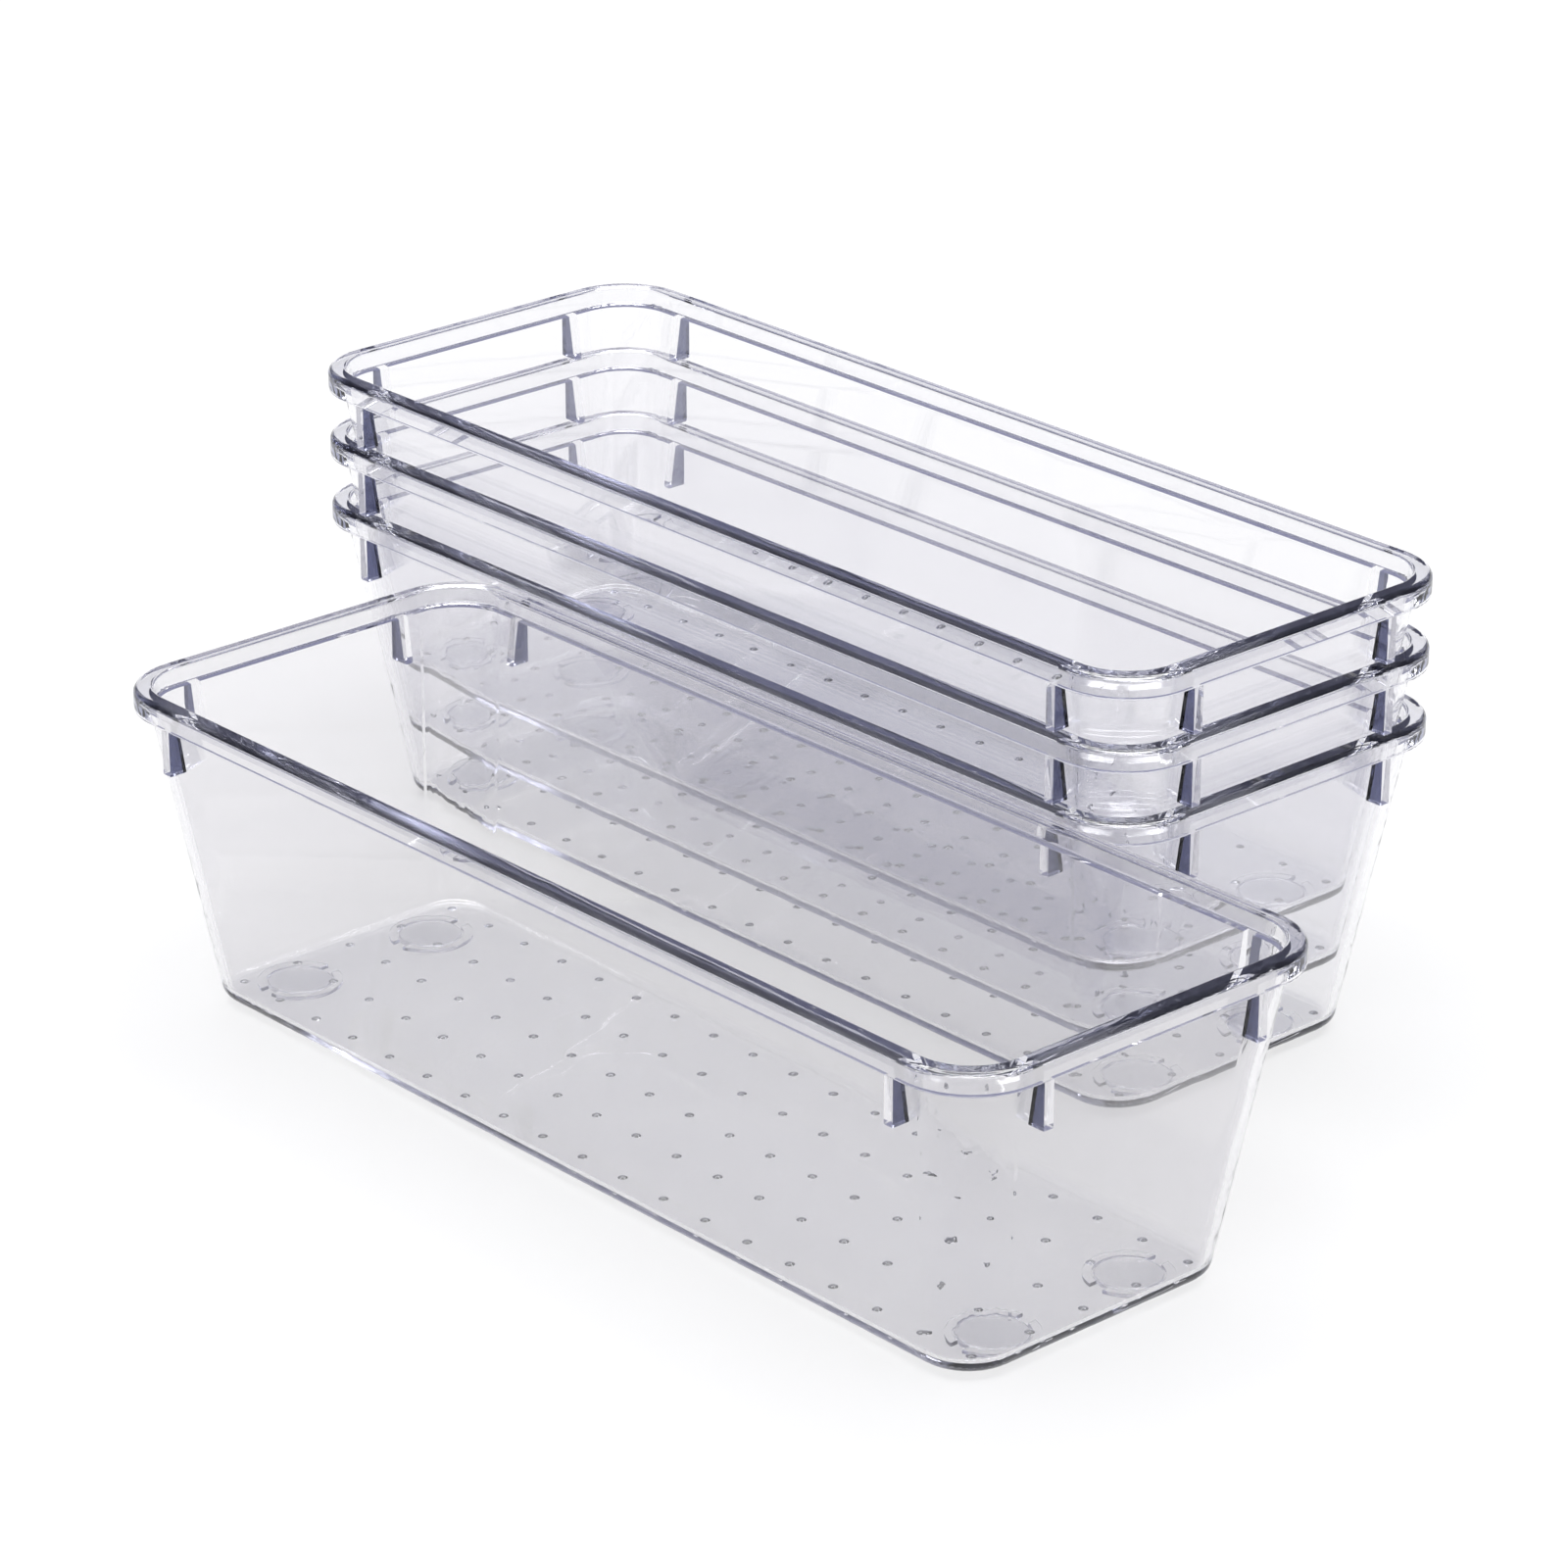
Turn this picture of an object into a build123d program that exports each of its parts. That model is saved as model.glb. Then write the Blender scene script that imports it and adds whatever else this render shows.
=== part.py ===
from build123d import *
import os

# Four identical clear plastic drawer organizer bins: one free bin in front and three nested in a stack.
# Frame: +X along the long sides, +Z up, origin under the middle of the set, on the surface it stands on.

# Driving dimensions, in millimetres
RIM_LENGTH = 230.0
RIM_WIDTH = 86.0
RIM_RADIUS = 14.0          # corner radius of the rim, seen from above
BIN_HEIGHT = 63.0          # from the surface to the top of the rim
WALL = 1.6                 # wall thickness, measured level
FLOOR = 1.8
WALL_LEAN = 9.5            # how far each wall comes in between the rim and the floor
STACK_PITCH = 13.7         # height of one nested bin above the next

# Rim: a solid bead that stands out from the top of the walls
RIM_OVERHANG = 2.0
RIM_DEPTH = 4.4
RIM_OUTER_ROUND = 1.2
RIM_INNER_ROUND = 0.6
RIM_UNDER_ROUND = 0.5

# Stacking ribs: they hang under the rim and stop on the rim of the bin below
RIB_WIDTH = 2.1
RIB_FROM_END = 18.5        # from the end of the rim to the middle of the rib
RIB_INSET = 0.4            # from the face of the rim to the face of the rib
STACK_GAP = 0.3            # between the end of a rib and the rim below
RIB_EDGE_ROUND = 0.5

# Floor
FOOT_HEIGHT = 1.2          # from the surface to the underside of the floor
FLOOR_RADIUS = 10.0        # corner radius of the floor, seen from above
FLOOR_ROUND = 2.6          # between the walls and the underside of the floor
DOT_COLUMNS = 19
DOT_ROWS = 5
DOT_END_MARGIN = 5.5       # from the end of the floor to the middle of the first dots
DOT_SIDE_MARGIN = 6.6
DOT_DIAMETER = 1.8
DOT_HEIGHT = 0.35
DOT_ROOT = 0.2             # how deep each dot is sunk into the floor

# Feet: a split ring under each corner of the floor, with a soft pad inside it
RING_RADIUS = 8.0
RING_WALL = 1.6
RING_CLEARANCE = 0.5       # from the surface to the ring: only the pads touch the surface
RING_SPLIT = 3.0
RING_FROM_END = 10.4       # from the end of the floor to the middle of the ring
RING_FROM_SIDE = 15.8
PAD_GAP = 0.35             # between the pad and its ring
PAD_EDGE_ROUND = 0.3

# Layout of the set
FRONT_SHIFT = 54.0         # how far the front bin is to the right of the stack
FRONT_SPACING = 88.0       # from the middle of the front bin to the middle of the stack
STACK_NAMES = ["stack_bottom", "stack_middle", "stack_top"]

# Modelling aids
CUT_PAST = 2.0             # how far a cutting block runs past the face it opens
EDGE_TOLERANCE = 0.01      # when picking edges by height

# Derived sizes
WALL_TOP_LENGTH = RIM_LENGTH - 2 * RIM_OVERHANG
WALL_TOP_WIDTH = RIM_WIDTH - 2 * RIM_OVERHANG
WALL_TOP_RADIUS = RIM_RADIUS - RIM_OVERHANG
FLOOR_LENGTH = WALL_TOP_LENGTH - 2 * WALL_LEAN
FLOOR_WIDTH = WALL_TOP_WIDTH - 2 * WALL_LEAN
WALL_HEIGHT = BIN_HEIGHT - FOOT_HEIGHT
FLOOR_TOP = FOOT_HEIGHT + FLOOR
RIB_END = BIN_HEIGHT - STACK_PITCH + STACK_GAP
PAD_RADIUS = RING_RADIUS - RING_WALL - PAD_GAP


def plate(length, width, radius, bottom, top):
    """A level plate with rounded corners."""
    outline = Plane.XY.offset(bottom) * RectangleRounded(length, width, radius)
    return extrude(outline, top - bottom)


def wall_section(z, inset):
    """The outline of the leaning walls at height z, moved in by inset."""
    rise = (z - FOOT_HEIGHT) / WALL_HEIGHT
    length = FLOOR_LENGTH + 2 * WALL_LEAN * rise - 2 * inset
    width = FLOOR_WIDTH + 2 * WALL_LEAN * rise - 2 * inset
    radius = FLOOR_RADIUS + (WALL_TOP_RADIUS - FLOOR_RADIUS) * rise - inset
    return Plane.XY.offset(z) * RectangleRounded(length, width, radius)


def leaning_tub(bottom, top, inset, bottom_round):
    """A solid block with leaning sides and a rounded bottom edge."""
    tub = loft([wall_section(bottom, inset), wall_section(top, inset)], ruled=True)
    return fillet(tub.faces().sort_by(Axis.Z)[0].edges(), bottom_round)


def make_rim():
    """The bead with its outer edges rounded, before the cavity is cut."""
    rim = plate(RIM_LENGTH, RIM_WIDTH, RIM_RADIUS, BIN_HEIGHT - RIM_DEPTH, BIN_HEIGHT)
    rim = fillet(rim.faces().sort_by(Axis.Z)[-1].edges(), RIM_OUTER_ROUND)
    return fillet(rim.faces().sort_by(Axis.Z)[0].edges(), RIM_UNDER_ROUND)


def make_ribs():
    """Two ribs on each side, near the corners."""
    rib_x = RIM_LENGTH / 2 - RIB_FROM_END
    rib_y = RIM_WIDTH / 2 - RIB_FROM_END
    rib_height = BIN_HEIGHT - RIM_DEPTH / 2 - RIB_END
    rib_z = RIB_END + rib_height / 2
    reach = WALL_LEAN + RIM_OVERHANG
    ribs = []
    for side in (-1, 1):
        for place in (-1, 1):
            long_y = side * (RIM_WIDTH / 2 - RIB_INSET - reach / 2)
            long_rib = Pos(place * rib_x, long_y, rib_z) * Box(RIB_WIDTH, reach, rib_height)
            ribs.append(fillet(long_rib.edges().group_by(Axis.Z)[0], RIB_EDGE_ROUND))
            short_x = side * (RIM_LENGTH / 2 - RIB_INSET - reach / 2)
            short_rib = Pos(short_x, place * rib_y, rib_z) * Box(reach, RIB_WIDTH, rib_height)
            ribs.append(fillet(short_rib.edges().group_by(Axis.Z)[0], RIB_EDGE_ROUND))
    return ribs


def make_dots():
    """Low round dots in rows and columns over the inside of the floor."""
    ball_radius = (DOT_HEIGHT ** 2 + (DOT_DIAMETER / 2) ** 2) / (2 * DOT_HEIGHT)
    ball = Pos(0, 0, DOT_HEIGHT - ball_radius) * Sphere(ball_radius)
    keep = Box(2 * DOT_DIAMETER, 2 * DOT_DIAMETER, DOT_HEIGHT + DOT_ROOT)
    dot = ball & Pos(0, 0, (DOT_HEIGHT - DOT_ROOT) / 2) * keep
    column_step = (FLOOR_LENGTH - 2 * DOT_END_MARGIN) / (DOT_COLUMNS - 1)
    row_step = (FLOOR_WIDTH - 2 * DOT_SIDE_MARGIN) / (DOT_ROWS - 1)
    grid = GridLocations(column_step, row_step, DOT_COLUMNS, DOT_ROWS)
    return [Pos(0, 0, FLOOR_TOP) * place * dot for place in grid]


def foot_places():
    """The middle of each foot ring, by corner."""
    x = FLOOR_LENGTH / 2 - RING_FROM_END
    y = FLOOR_WIDTH / 2 - RING_FROM_SIDE
    return {
        "front_left": (-x, -y),
        "front_right": (x, -y),
        "back_left": (-x, y),
        "back_right": (x, y),
    }


def make_ring(x, y):
    """A low ring under the floor, split on its two long-side edges."""
    height = FLOOR_TOP - FLOOR / 2 - RING_CLEARANCE
    ring = Cylinder(RING_RADIUS, height) - Cylinder(RING_RADIUS - RING_WALL, height)
    ring -= Box(RING_SPLIT, 2 * RING_RADIUS + CUT_PAST, height)
    return Pos(x, y, RING_CLEARANCE + height / 2) * ring


def make_shell():
    """One moulded bin: leaning walls, floor, rim, ribs, dots and foot rings."""
    outside = leaning_tub(FOOT_HEIGHT, BIN_HEIGHT - RIM_DEPTH / 2, 0, FLOOR_ROUND)
    cavity = leaning_tub(FLOOR_TOP, BIN_HEIGHT + CUT_PAST, WALL, FLOOR_ROUND - FLOOR / 2)
    body = outside.fuse(make_rim(), *make_ribs()) - cavity
    rings = [make_ring(x, y) for x, y in foot_places().values()]
    body = body.fuse(*rings)
    lowest, highest = BIN_HEIGHT - EDGE_TOLERANCE, BIN_HEIGHT + EDGE_TOLERANCE
    mouth = body.edges().filter_by_position(Axis.Z, lowest, highest)
    inner = [edge for edge in mouth if inside_mouth(edge.center())]
    body = fillet(inner, RIM_INNER_ROUND)
    return body.fuse(*make_dots())


def inside_mouth(point):
    """True for a point on the inner edge of the rim's flat top."""
    rim_middle = (RIM_OVERHANG + WALL + RIM_OUTER_ROUND) / 2
    return abs(point.X) < RIM_LENGTH / 2 - rim_middle and abs(point.Y) < RIM_WIDTH / 2 - rim_middle


def make_pad():
    """A soft clear anti-slip pad, stuck to the underside of the floor."""
    pad = Pos(0, 0, FOOT_HEIGHT / 2) * Cylinder(PAD_RADIUS, FOOT_HEIGHT)
    return fillet(pad.edges().group_by(Axis.Z)[0], PAD_EDGE_ROUND)


def bin_places():
    """Where each bin stands: the free one in front, the others nested behind it."""
    places = {"front": (FRONT_SHIFT / 2, -FRONT_SPACING / 2, 0)}
    for level, name in enumerate(STACK_NAMES):
        places[name] = (-FRONT_SHIFT / 2, FRONT_SPACING / 2, level * STACK_PITCH)
    return places


os.makedirs("parts", exist_ok=True)
shell = make_shell()
pad = make_pad()
for bin_name, (bin_x, bin_y, bin_z) in bin_places().items():
    export_step(Pos(bin_x, bin_y, bin_z) * shell, f"parts/{bin_name}_shell.step")
    for corner, (pad_x, pad_y) in foot_places().items():
        placed_pad = Pos(bin_x + pad_x, bin_y + pad_y, bin_z) * pad
        export_step(placed_pad, f"parts/{bin_name}_pad_{corner}.step")
print("shell volume", round(shell.volume), "mm3")
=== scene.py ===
import math

import bmesh
import bpy
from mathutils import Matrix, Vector


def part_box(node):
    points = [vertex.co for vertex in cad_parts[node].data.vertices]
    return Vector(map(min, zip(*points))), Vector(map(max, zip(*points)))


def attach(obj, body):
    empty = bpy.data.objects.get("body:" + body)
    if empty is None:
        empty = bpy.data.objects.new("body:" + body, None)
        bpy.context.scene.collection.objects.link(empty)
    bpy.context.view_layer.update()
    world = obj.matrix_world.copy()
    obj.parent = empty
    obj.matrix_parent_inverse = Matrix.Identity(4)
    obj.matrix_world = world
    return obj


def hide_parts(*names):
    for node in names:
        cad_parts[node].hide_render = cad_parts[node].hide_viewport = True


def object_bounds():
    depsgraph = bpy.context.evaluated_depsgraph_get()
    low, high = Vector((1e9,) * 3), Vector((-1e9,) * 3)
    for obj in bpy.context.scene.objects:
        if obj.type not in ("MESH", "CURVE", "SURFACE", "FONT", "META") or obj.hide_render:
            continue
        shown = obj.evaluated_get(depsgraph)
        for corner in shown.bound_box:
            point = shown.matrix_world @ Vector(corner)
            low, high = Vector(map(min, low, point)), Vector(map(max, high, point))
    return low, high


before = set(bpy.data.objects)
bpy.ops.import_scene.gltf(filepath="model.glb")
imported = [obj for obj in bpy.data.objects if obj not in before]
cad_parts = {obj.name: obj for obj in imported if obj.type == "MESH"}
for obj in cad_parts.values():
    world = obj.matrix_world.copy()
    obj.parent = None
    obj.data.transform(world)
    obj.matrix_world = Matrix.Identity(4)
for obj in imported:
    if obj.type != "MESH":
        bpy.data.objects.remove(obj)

# Four clear plastic drawer bins, one free in front of a nested stack of three, each on soft clear pads

# Each bin's name in the nodes, and the body it belongs to
BINS = {
    "front": "front_bin",
    "stack_bottom": "stack_bottom",
    "stack_middle": "stack_middle",
    "stack_top": "stack_top",
}
CORNERS = ["front_left", "front_right", "back_left", "back_right"]

# Camera, as seen from the middle of the set
CAMERA_AZIMUTH = 48.1          # degrees, from the front towards the right
CAMERA_ELEVATION = 23.0
CAMERA_DISTANCE = 1.1175       # metres
CAMERA_LENS = 135.0            # millimetres
CAMERA_SENSOR = 36.0           # millimetres
CAMERA_AIM = Vector((-0.0264, 0.0256, -0.0152))    # from the middle of the set

# Where the stacking ribs are on every bin, in metres, for the painted shade on their side faces
RIB_FROM_END = 0.0185          # from the end of the rim to the middle of a rib
RIB_WIDTH = 0.0021
RIBS_ABOVE = 0.020             # nothing below this height on a bin belongs to a rib
RIB_REACH = RIB_WIDTH * 0.7    # half of a rib, and a little over
SQUARE_ON = 0.9                # a normal component above this faces straight along its axis

# Where the dots are on the floor of every bin, in metres, for their painted shade
DOTS_MIDDLE = 0.0027           # height of the middle of a dot over the lowest point of the shell
DOTS_REACH = 0.00017           # up and down from that height
DOTS_HALF_LENGTH = 0.0995      # from the middle of the bin to past the last dots
DOTS_HALF_WIDTH = 0.0265

# Plastic. Its tint runs between two: the free bin's pair is a shade darker than the nested ones, which is
# painted shade, not a different plastic
PLASTIC_IOR = 1.57
FREE_TINTS_PAINTED_SHADE = ((0.92, 0.915, 0.924, 1.0), (0.875, 0.87, 0.882, 1.0))
NESTED_TINTS = ((0.97, 0.968, 0.974, 1.0), (0.94, 0.938, 0.948, 1.0))
DEPTH_COLOUR = (0.36, 0.38, 0.52, 1.0)     # what light that runs along inside the plastic turns to
DEPTH_DENSITY = 9.0
SCUFF_ROUGHNESS = 0.07         # where the plastic is most scuffed
SCUFF_STRETCH = (1.0, 1.0, 6.0)
FLOW_STRENGTH = 0.02
# Painted shade: dark navy on the side faces of the ribs, where they look dark through the plastic
RIB_SIDE_PAINTED_SHADE = (0.115, 0.125, 0.225, 1.0)
# Painted shade: dark grey on the clear floor dots
DOT_PAINTED_SHADE = (0.2, 0.2, 0.22, 1.0)

# Pads
PAD_CLEARANCE = 0.00006        # between the pad and the floor it is stuck to
PAD_ROUND = 0.00028            # radius of the rounded edges
PAD_ROUND_STEPS = 6
PAD_DOME = 0.00008             # how far the edge of the underside is above its middle
PAD_DOME_SHARES = (0.75, 0.5, 0.25, 0.0)   # shares of the radius where the dome has a ring of points
PAD_TOP_SHARE = 0.5            # the same for the one ring on the flat top
PAD_TURNS = 64                 # points around
SILICONE_IOR = 1.41
SILICONE_GLOSS = 0.25
SILICONE_TINTS = ((0.97, 0.972, 0.98, 1.0), (0.995, 0.995, 0.998, 1.0))
SILICONE_ROUGHNESS = (0.03, 0.10)

# White floor, a little below the pads so that they don't darken it
FLOOR_HALF_SIDE = 6.0
FLOOR_TOP = -0.0002
FLOOR_COLOUR = (0.15, 0.15, 0.15, 1.0)
FLOOR_GLOW = 0.72              # the floor is mostly a light table

# The studio: brightness and tint by how high the light comes from, as the sine of its height
STUDIO_LIGHT = [
    (0.0, (1.0, 1.0, 1.0)),            # white sweep
    (0.1, (1.0, 1.0, 1.0)),
    (0.17, (0.22, 0.225, 0.34)),       # unlit navy room
    (0.83, (0.19, 0.195, 0.30)),
    (0.87, (9.0, 9.0, 9.0)),           # ring of soft boxes overhead
    (0.93, (9.0, 9.0, 9.0)),
    (0.96, (1.2, 1.2, 1.2)),           # dimmer ceiling inside the ring
    (1.0, (1.2, 1.2, 1.2)),
]
STUDIO_STRENGTH = 1.25

LIGHT_BOUNCES = 48             # light runs a long way inside the rims before it leaves them

cad_low, cad_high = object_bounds()
middle = (cad_low + cad_high) / 2


def new_nodes(material):
    """An empty node tree, with a helper that adds a node and sets its plain inputs."""
    material.use_nodes = True
    tree = material.node_tree
    tree.nodes.clear()

    def add(kind, inputs=None, **settings):
        node = tree.nodes.new(kind)
        for name, value in settings.items():
            setattr(node, name, value)
        for name, value in (inputs or {}).items():
            node.inputs[name].default_value = value
        return node

    return tree, add


def near(tree, add, value, place, reach):
    """1 where a value is within reach of a place, else 0."""
    gap = add("ShaderNodeMath", {1: place}, operation="SUBTRACT")
    size = add("ShaderNodeMath", operation="ABSOLUTE")
    inside = add("ShaderNodeMath", {1: reach}, operation="LESS_THAN")
    tree.links.new(value, gap.inputs[0])
    tree.links.new(gap.outputs[0], size.inputs[0])
    tree.links.new(size.outputs[0], inside.inputs[0])
    return inside.outputs[0]


def above(tree, add, value, limit):
    """1 where a value is over a limit, else 0."""
    over = add("ShaderNodeMath", {1: limit}, operation="GREATER_THAN")
    tree.links.new(value, over.inputs[0])
    return over.outputs[0]


def join_masks(tree, add, *masks, operation="MULTIPLY"):
    """One mask from several: where all of them are 1, or with MAXIMUM where any is."""
    result = masks[0]
    for mask in masks[1:]:
        join = add("ShaderNodeMath", operation=operation)
        tree.links.new(result, join.inputs[0])
        tree.links.new(mask, join.inputs[1])
        result = join.outputs[0]
    return result


def place_on_bin(tree, add, place, node):
    """How far a point is from the middle of a bin in X and Y, and from its lowest point in Z."""
    low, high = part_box(node)
    bin_middle = (low + high) / 2
    shift = add("ShaderNodeVectorMath", {1: (bin_middle.x, bin_middle.y, low.z)}, operation="SUBTRACT")
    size = add("ShaderNodeVectorMath", operation="ABSOLUTE")
    where = add("ShaderNodeSeparateXYZ")
    tree.links.new(place.outputs["Object"], shift.inputs[0])
    tree.links.new(shift.outputs[0], size.inputs[0])
    tree.links.new(size.outputs[0], where.inputs[0])
    return where


def floor_dots(tree, add, where):
    """A mask of the low round dots on the floor of a bin, where the painted shade goes."""
    in_height = near(tree, add, where.outputs["Z"], DOTS_MIDDLE, DOTS_REACH)
    in_length = near(tree, add, where.outputs["X"], 0.0, DOTS_HALF_LENGTH)
    in_width = near(tree, add, where.outputs["Y"], 0.0, DOTS_HALF_WIDTH)
    return join_masks(tree, add, in_height, in_length, in_width)


def rib_side_shade_mask(tree, add, where, node):
    """A mask of the side faces of one bin's stacking ribs, where the painted shade goes."""
    low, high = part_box(node)
    facing = add("ShaderNodeNewGeometry")
    facing_size = add("ShaderNodeVectorMath", operation="ABSOLUTE")
    faces = add("ShaderNodeSeparateXYZ")
    tree.links.new(facing.outputs["True Normal"], facing_size.inputs[0])
    tree.links.new(facing_size.outputs[0], faces.inputs[0])
    long_x = near(tree, add, where.outputs["X"], (high.x - low.x) / 2 - RIB_FROM_END, RIB_REACH)
    short_y = near(tree, add, where.outputs["Y"], (high.y - low.y) / 2 - RIB_FROM_END, RIB_REACH)
    long_sides = join_masks(tree, add, long_x, above(tree, add, faces.outputs["X"], SQUARE_ON))
    short_sides = join_masks(tree, add, short_y, above(tree, add, faces.outputs["Y"], SQUARE_ON))
    shaded_rib_sides = join_masks(tree, add, long_sides, short_sides, operation="MAXIMUM")
    return join_masks(tree, add, shaded_rib_sides, above(tree, add, where.outputs["Z"], RIBS_ABOVE))


def clear_plastic(bin_name):
    """Clear polystyrene with flow marks and light scuffs, darker where light runs along inside it, with
    painted shade on its rib sides and floor dots.
    """
    material = bpy.data.materials.new(f"clear_polystyrene_{bin_name}")
    tree, add = new_nodes(material)
    out = add("ShaderNodeOutputMaterial")
    shader = add("ShaderNodeBsdfPrincipled", {"Transmission Weight": 1.0, "IOR": PLASTIC_IOR})
    place = add("ShaderNodeTexCoord")
    where = place_on_bin(tree, add, place, f"{bin_name}_shell")
    shaded_rib_sides = rib_side_shade_mask(tree, add, where, f"{bin_name}_shell")
    dots = floor_dots(tree, add, where)
    cloud = add("ShaderNodeTexNoise", {"Scale": 9.0, "Detail": 3.0})
    tint_and_shade = add("ShaderNodeMix", data_type="RGBA")
    # the free bin's darker tints are painted shade
    tints_and_shade = FREE_TINTS_PAINTED_SHADE if bin_name == "front" else NESTED_TINTS
    tint_and_shade.inputs["A"].default_value, tint_and_shade.inputs["B"].default_value = tints_and_shade
    # Painted shade: the floor dots go dark grey
    with_dot_shade = add("ShaderNodeMix", data_type="RGBA")
    with_dot_shade.inputs["B"].default_value = DOT_PAINTED_SHADE
    # Painted shade: the rib sides go dark navy over the plastic's tint
    colour = add("ShaderNodeMix", data_type="RGBA")
    colour.inputs["B"].default_value = RIB_SIDE_PAINTED_SHADE
    tree.links.new(place.outputs["Object"], cloud.inputs["Vector"])
    tree.links.new(cloud.outputs["Fac"], tint_and_shade.inputs["Factor"])
    tree.links.new(tint_and_shade.outputs["Result"], with_dot_shade.inputs["A"])
    tree.links.new(dots, with_dot_shade.inputs["Factor"])
    tree.links.new(with_dot_shade.outputs["Result"], colour.inputs["A"])
    tree.links.new(shaded_rib_sides, colour.inputs["Factor"])
    tree.links.new(colour.outputs["Result"], shader.inputs["Base Color"])

    stretch = add("ShaderNodeMapping")
    stretch.inputs["Scale"].default_value = SCUFF_STRETCH
    scuffs = add("ShaderNodeTexNoise", {"Scale": 60.0, "Detail": 6.0, "Roughness": 0.7})
    worn = add("ShaderNodeMapRange", {
        "From Min": 0.55,
        "From Max": 0.8,
        "To Min": 0.0,
        "To Max": SCUFF_ROUGHNESS,
    })
    tree.links.new(place.outputs["Object"], stretch.inputs["Vector"])
    tree.links.new(stretch.outputs["Vector"], scuffs.inputs["Vector"])
    tree.links.new(scuffs.outputs["Fac"], worn.inputs["Value"])
    tree.links.new(worn.outputs["Result"], shader.inputs["Roughness"])

    flow = add("ShaderNodeTexNoise", {"Scale": 18.0, "Detail": 2.0, "Distortion": 0.6})
    bump = add("ShaderNodeBump", {"Strength": FLOW_STRENGTH, "Distance": 0.01})
    tree.links.new(place.outputs["Object"], flow.inputs["Vector"])
    tree.links.new(flow.outputs["Fac"], bump.inputs["Height"])
    tree.links.new(bump.outputs["Normal"], shader.inputs["Normal"])
    tree.links.new(shader.outputs["BSDF"], out.inputs["Surface"])
    depth = add("ShaderNodeVolumeAbsorption", {"Color": DEPTH_COLOUR, "Density": DEPTH_DENSITY})
    tree.links.new(depth.outputs["Volume"], out.inputs["Volume"])
    return material


def soft_silicone():
    """Soft clear silicone: slightly milky, with a fine matt skin."""
    material = bpy.data.materials.new("clear_silicone")
    tree, add = new_nodes(material)
    out = add("ShaderNodeOutputMaterial")
    shader = add("ShaderNodeBsdfPrincipled", {
        "Transmission Weight": 1.0,
        "IOR": SILICONE_IOR,
        "Specular IOR Level": SILICONE_GLOSS,
    })
    place = add("ShaderNodeTexCoord")
    milk = add("ShaderNodeTexNoise", {"Scale": 240.0, "Detail": 3.0})
    colour = add("ShaderNodeMix", data_type="RGBA")
    colour.inputs["A"].default_value, colour.inputs["B"].default_value = SILICONE_TINTS
    smoothest, roughest = SILICONE_ROUGHNESS
    skin = add("ShaderNodeMapRange", {"To Min": smoothest, "To Max": roughest})
    grain = add("ShaderNodeTexNoise", {"Scale": 2500.0, "Detail": 2.0})
    bump = add("ShaderNodeBump", {"Strength": 0.1, "Distance": 0.0002})
    tree.links.new(place.outputs["Object"], milk.inputs["Vector"])
    tree.links.new(place.outputs["Object"], grain.inputs["Vector"])
    tree.links.new(milk.outputs["Fac"], colour.inputs["Factor"])
    tree.links.new(milk.outputs["Fac"], skin.inputs["Value"])
    tree.links.new(grain.outputs["Fac"], bump.inputs["Height"])
    tree.links.new(colour.outputs["Result"], shader.inputs["Base Color"])
    tree.links.new(skin.outputs["Result"], shader.inputs["Roughness"])
    tree.links.new(bump.outputs["Normal"], shader.inputs["Normal"])
    tree.links.new(shader.outputs["BSDF"], out.inputs["Surface"])
    return material


def quarter_round(distance, height, first_turn, last_turn):
    """Points along a pad's rounded edge, about a centre at this distance and height."""
    points = []
    for step in range(PAD_ROUND_STEPS + 1):
        turn = first_turn + (last_turn - first_turn) * step / PAD_ROUND_STEPS
        points.append((distance + PAD_ROUND * math.cos(turn), height + PAD_ROUND * math.sin(turn)))
    return points


def pad_outline(radius, bottom, top):
    """Half the section of a pad, from the middle of its top round to the middle of its domed underside."""
    round_from = radius - PAD_ROUND
    points = [(0.0, top), (radius * PAD_TOP_SHARE, top)]
    points += quarter_round(round_from, top - PAD_ROUND, math.pi / 2, 0)
    points += quarter_round(round_from, bottom + PAD_DOME + PAD_ROUND, 0, -math.pi / 2)
    for share in PAD_DOME_SHARES:
        points.append((radius * share, bottom + PAD_DOME * share ** 2))
    return points


def silicone_pad(node, body, material):
    """A round pad turned from its section, in place of the plain CAD pad."""
    low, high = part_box(node)
    centre = (low + high) / 2
    radius = (high.x - low.x) / 2
    shape = bmesh.new()
    rings = []
    for distance, z in pad_outline(radius, low.z, high.z - PAD_CLEARANCE):
        if distance == 0:
            rings.append([shape.verts.new((centre.x, centre.y, z))])
            continue
        ring = []
        for turn in range(PAD_TURNS):
            angle = 2 * math.pi * turn / PAD_TURNS
            x = centre.x + distance * math.cos(angle)
            y = centre.y + distance * math.sin(angle)
            ring.append(shape.verts.new((x, y, z)))
        rings.append(ring)
    for first, second in zip(rings, rings[1:]):
        for turn in range(PAD_TURNS):
            following = (turn + 1) % PAD_TURNS
            corners = [first[turn % len(first)], second[turn % len(second)]]
            corners += [second[following % len(second)], first[following % len(first)]]
            shape.faces.new(list(dict.fromkeys(corners)))
    bmesh.ops.recalc_face_normals(shape, faces=shape.faces)
    mesh = bpy.data.meshes.new(f"{node}_soft")
    shape.to_mesh(mesh)
    shape.free()
    mesh.shade_smooth()
    pad = bpy.data.objects.new(f"{node}_soft", mesh)
    bpy.context.collection.objects.link(pad)
    mesh.materials.append(material)
    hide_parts(node)
    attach(pad, body)


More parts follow.
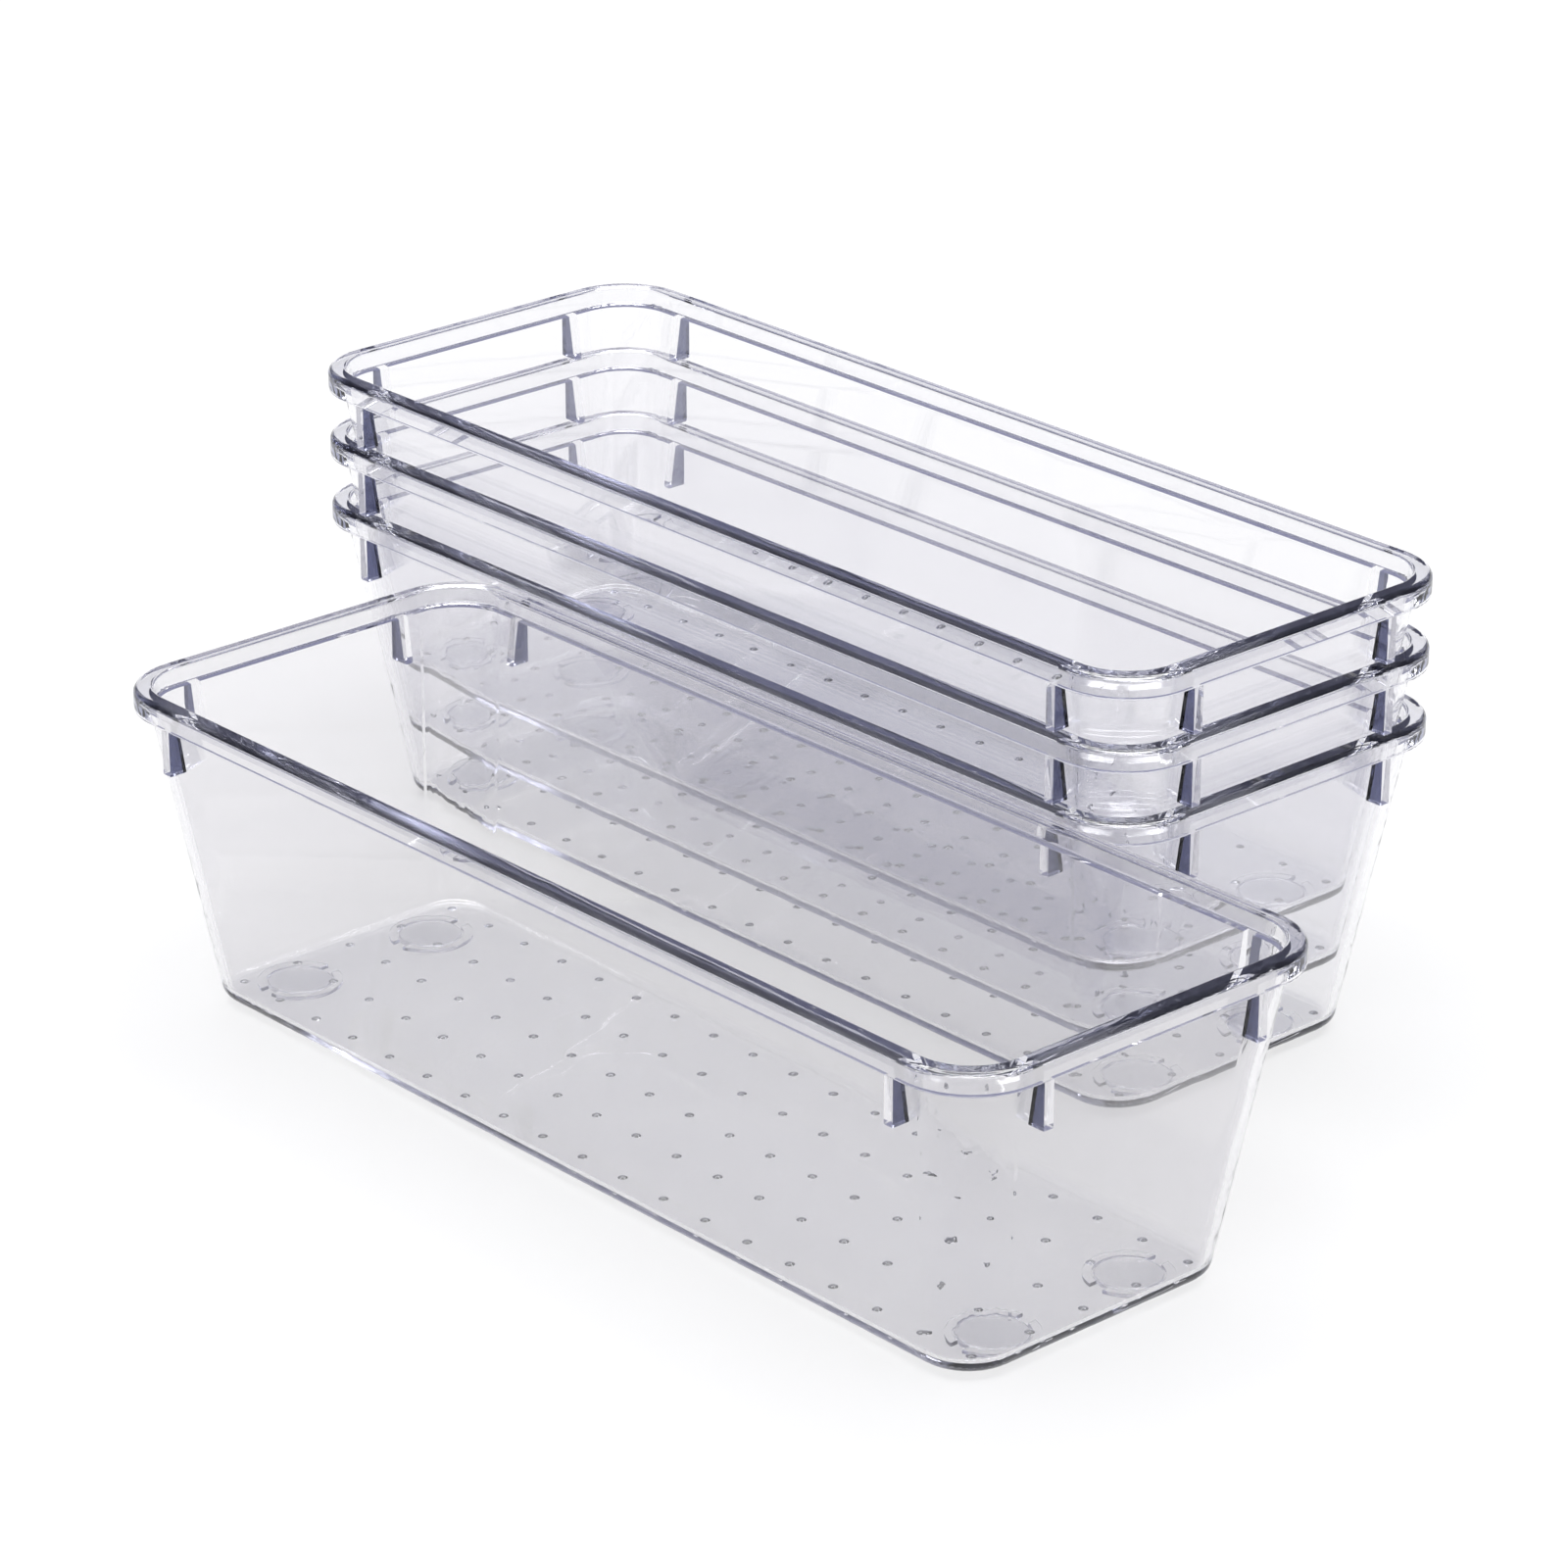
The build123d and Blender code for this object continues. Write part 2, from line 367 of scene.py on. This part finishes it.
def white_floor():
    """A plain white floor that fills the view."""
    side = FLOOR_HALF_SIDE
    mesh = bpy.data.meshes.new("floor")
    outline = [(-side, -side), (side, -side), (side, side), (-side, side)]
    corners = [(x, y, FLOOR_TOP) for x, y in outline]
    mesh.from_pydata(corners, [], [(0, 1, 2, 3)])
    floor = bpy.data.objects.new("floor", mesh)
    bpy.context.collection.objects.link(floor)
    material = bpy.data.materials.new("white_sweep")
    tree, add = new_nodes(material)
    out = add("ShaderNodeOutputMaterial")
    shader = add("ShaderNodeBsdfPrincipled", {
        "Base Color": FLOOR_COLOUR,
        "Roughness": 1.0,
        "Specular IOR Level": 0.0,
        "Emission Color": (1.0, 1.0, 1.0, 1.0),
        "Emission Strength": FLOOR_GLOW,
    })
    tree.links.new(shader.outputs["BSDF"], out.inputs["Surface"])
    mesh.materials.append(material)


def studio_world():
    """Light from all round that changes only with height."""
    world = bpy.data.worlds.new("studio")
    bpy.context.scene.world = world
    world.use_nodes = True
    tree = world.node_tree
    tree.nodes.clear()
    out = tree.nodes.new("ShaderNodeOutputWorld")
    back = tree.nodes.new("ShaderNodeBackground")
    place = tree.nodes.new("ShaderNodeTexCoord")
    split = tree.nodes.new("ShaderNodeSeparateXYZ")
    ramp = tree.nodes.new("ShaderNodeValToRGB")
    stops = ramp.color_ramp.elements
    stops.remove(stops[1])
    stops[0].position, stops[0].color = STUDIO_LIGHT[0][0], (*STUDIO_LIGHT[0][1], 1.0)
    for position, colour in STUDIO_LIGHT[1:]:
        stops.new(position).color = (*colour, 1.0)
    tree.links.new(place.outputs["Generated"], split.inputs["Vector"])
    tree.links.new(split.outputs["Z"], ramp.inputs["Fac"])
    tree.links.new(ramp.outputs["Color"], back.inputs["Color"])
    tree.links.new(back.outputs["Background"], out.inputs["Surface"])
    back.inputs["Strength"].default_value = STUDIO_STRENGTH


def photo_camera():
    """The camera, looking at the set from the photograph's viewing angle."""
    camera = bpy.data.objects.new("camera", bpy.data.cameras.new("camera"))
    bpy.context.collection.objects.link(camera)
    azimuth = math.radians(CAMERA_AZIMUTH)
    elevation = math.radians(CAMERA_ELEVATION)
    level = math.cos(elevation)
    back = Vector((math.sin(azimuth) * level, -math.cos(azimuth) * level, math.sin(elevation)))
    camera.location = middle + CAMERA_AIM + back * CAMERA_DISTANCE
    camera.rotation_euler = (-back).to_track_quat("-Z", "Y").to_euler()
    camera.data.lens = CAMERA_LENS
    camera.data.sensor_width = CAMERA_SENSOR
    bpy.context.scene.camera = camera


def paint(node, material):
    """Gives a carried-over CAD node its finished material in every slot."""
    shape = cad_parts[node]
    if not shape.material_slots:
        shape.data.materials.append(material)
    for slot in shape.material_slots:
        slot.material = material


photo_camera()
white_floor()
studio_world()
silicone = soft_silicone()
for bin_name, body in BINS.items():
    paint(f"{bin_name}_shell", clear_plastic(bin_name))
    for corner in CORNERS:
        silicone_pad(f"{bin_name}_pad_{corner}", body, silicone)

scene = bpy.context.scene
scene.view_settings.view_transform = "Standard"
scene.cycles.max_bounces = LIGHT_BOUNCES
scene.cycles.transmission_bounces = LIGHT_BOUNCES
scene.cycles.glossy_bounces = LIGHT_BOUNCES
scene.cycles.use_denoising = True
